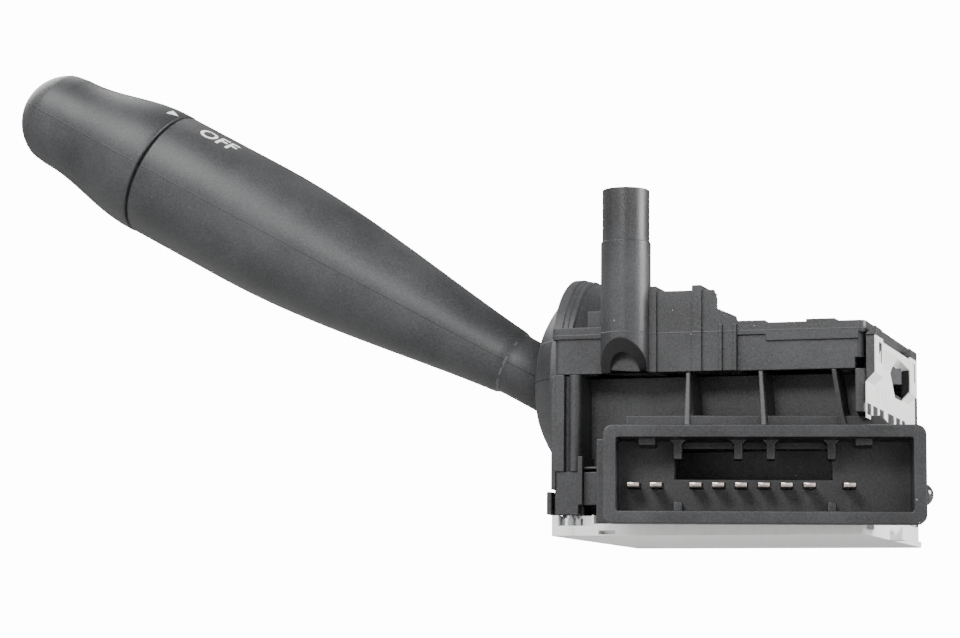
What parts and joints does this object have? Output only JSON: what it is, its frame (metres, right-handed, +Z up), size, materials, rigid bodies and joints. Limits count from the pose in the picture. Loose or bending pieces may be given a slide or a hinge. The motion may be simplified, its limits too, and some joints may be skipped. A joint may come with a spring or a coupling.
{
  "type": "combination stalk switch",
  "caption": "Steering-column stalk switch: a tilted lever with a rotary light knob on a boxed casing with a ball collar, a coded side connector, an upright post and a hooked side rail.",
  "frame": {"origin": "On the flat underside of the base tray, where the axis about which the lever turns meets it.", "axes": "+Z runs up along the steering column towards the driver, -X is the side on which the lever leaves the casing, and -Y is the side that the connector faces."},
  "size_m": [0.2175, 0.09, 0.1103],
  "materials": {
    "casing_plastic": "fine-grained satin, moulded",
    "lever_plastic": "fine-grained satin, moulded, with light print",
    "inner_plastic": "plain moulded, greased at the sliding faces",
    "white_nylon": "smooth natural nylon",
    "gloss_peg": "polished",
    "tinned_terminals": "tinned",
    "contact_brass": "rolled, plain",
    "bright_steel": "zinc-plated",
    "laminate": "resin-bonded paper board"
  },
  "bodies": {
    "housing": {"main_housing": "casing_plastic", "top_cover": "casing_plastic", "base_tray": "white_nylon", "side_rail": "white_nylon", "connector_shell": "casing_plastic", "terminals_left": "tinned_terminals", "terminals_middle": "tinned_terminals", "terminal_right": "tinned_terminals", "locating_peg": "gloss_peg", "base_screws": "bright_steel", "cover_screws": "bright_steel", "contact_plate": "laminate", "contact_rails": "contact_brass", "detent_track": "bright_steel", "pawl_spring": "bright_steel"},
    "turn_carrier": {"turn_carrier": "inner_plastic", "dip_pin": "bright_steel", "turn_contact": "contact_brass", "turn_spring": "bright_steel"},
    "turn_plunger": {"turn_plunger": "contact_brass"},
    "lever": {"lever_sleeve": "lever_plastic", "lever_hub": "inner_plastic", "dust_cap": "lever_plastic", "lever_bearing": "inner_plastic", "light_rails": "contact_brass", "click_spring": "bright_steel", "click_ball": "bright_steel"},
    "knob": {"knob_shell": "lever_plastic", "knob_shaft": "bright_steel"},
    "light_slider": {"light_slider": "white_nylon", "light_contact": "contact_brass"},
    "dimmer_slider": {"dimmer_slider": "white_nylon", "dimmer_contact": "contact_brass"},
    "cancel_pawl": {"cancel_pawl": "inner_plastic"}
  },
  "joints": [
    {"name": "turn", "type": "hinge", "parent": "housing", "child": "turn_carrier", "pos_m": [0, 0, 0.0335], "axis": [0, 0, 1], "range_deg": [-9, 9]},
    {"name": "dip", "type": "hinge", "parent": "turn_carrier", "child": "lever", "pos_m": [0, 0, 0.0335], "axis": [0, 1, 0], "range_deg": [-3, 5], "stiffness_Nm_per_rad": 8},
    {"name": "knob_turn", "type": "hinge", "parent": "lever", "child": "knob", "pos_m": [0, 0, 0.0204], "axis": [0.8797, 0, -0.4756], "range_deg": [0, 60]},
    {"name": "light_slide", "type": "slide", "parent": "lever", "child": "light_slider", "axis": [0, 1, 0], "range_m": [-0.0001, 0.0052]},
    {"name": "dimmer_slide", "type": "slide", "parent": "turn_carrier", "child": "dimmer_slider", "axis": [1, 0, 0], "range_m": [-0.0019, 0.0012]},
    {"name": "plunger", "type": "slide", "parent": "turn_carrier", "child": "turn_plunger", "axis": [1, 0, 0], "range_m": [-0.001, 0], "stiffness_N_per_m": 400},
    {"name": "cancel", "type": "hinge", "parent": "housing", "child": "cancel_pawl", "pos_m": [0.038, 0.008, 0.0335], "axis": [0, 0, 1], "range_deg": [-15, 15], "stiffness_Nm_per_rad": 0.02}
  ],
  "couplings": [
    {"joint": "light_slide", "follows": "knob_turn", "m_per_rad": 0.0047746},
    {"joint": "dimmer_slide", "follows": "dip", "m_per_rad": -0.0213}
  ]
}
